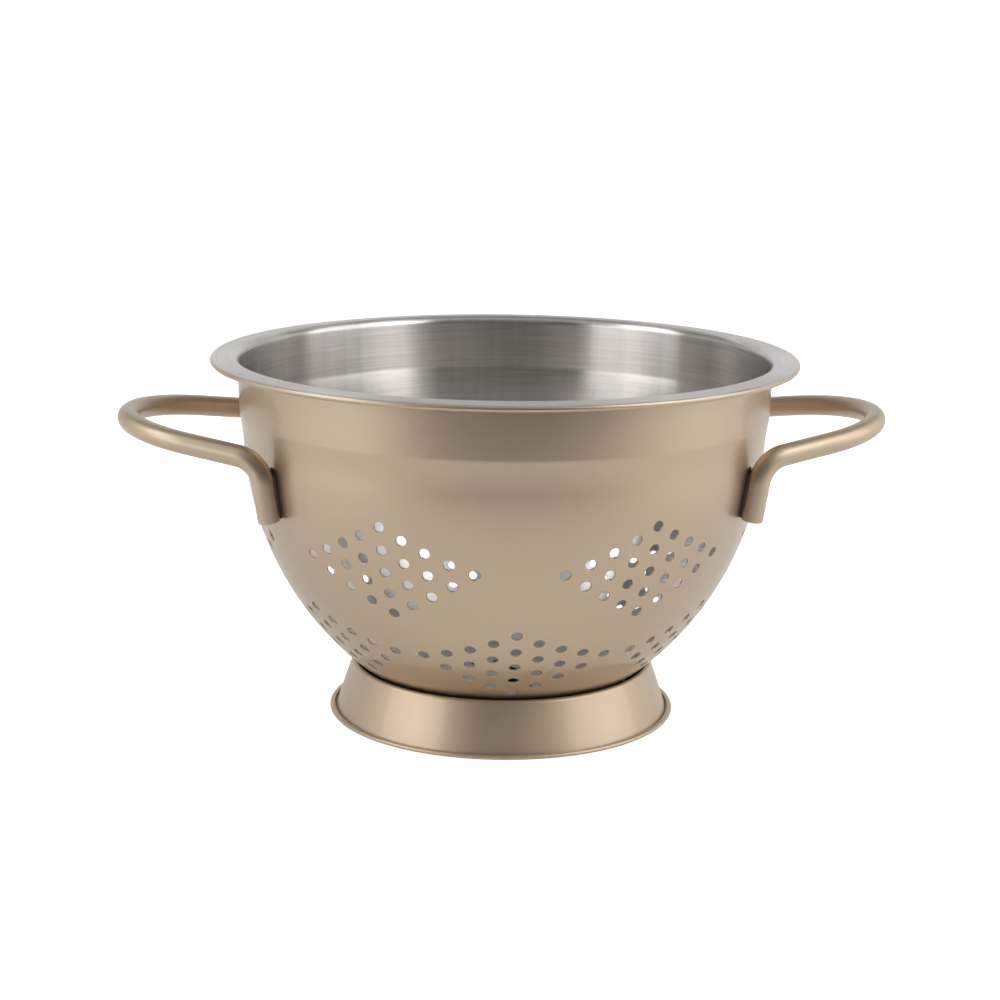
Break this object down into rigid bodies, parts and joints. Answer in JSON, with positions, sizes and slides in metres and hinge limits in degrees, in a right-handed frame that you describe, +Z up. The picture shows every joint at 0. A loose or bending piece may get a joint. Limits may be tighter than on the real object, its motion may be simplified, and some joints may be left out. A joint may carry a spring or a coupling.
{
  "type": "footed colander",
  "caption": "Deep round colander: flanged sheet bowl with diamond groups of drain holes, a flared foot ring and a bent tube handle on each side.",
  "frame": {"origin": "on the table, at the bowl's axis, in the plane of the foot's flat underside", "axes": "+Z up along the bowl's axis; X through both handles, with the right handle on +X; Y across, with -Y towards the viewer"},
  "size_m": [0.3156, 0.24, 0.1504],
  "materials": {
    "bowl_sheet": "satin champagne gold lacquer outside, bare brushed steel inside and on the flange's top",
    "foot_sheet": "satin champagne gold lacquer",
    "handle_tube": "satin champagne gold lacquer",
    "weld": "weld metal under the same lacquer"
  },
  "bodies": {
    "root": {"bowl": "bowl_sheet", "foot_ring": "foot_sheet", "left_handle": "handle_tube", "right_handle": "handle_tube", "left_handle_welds": "weld", "right_handle_welds": "weld", "foot_welds": "weld"}
  },
  "joints": []
}
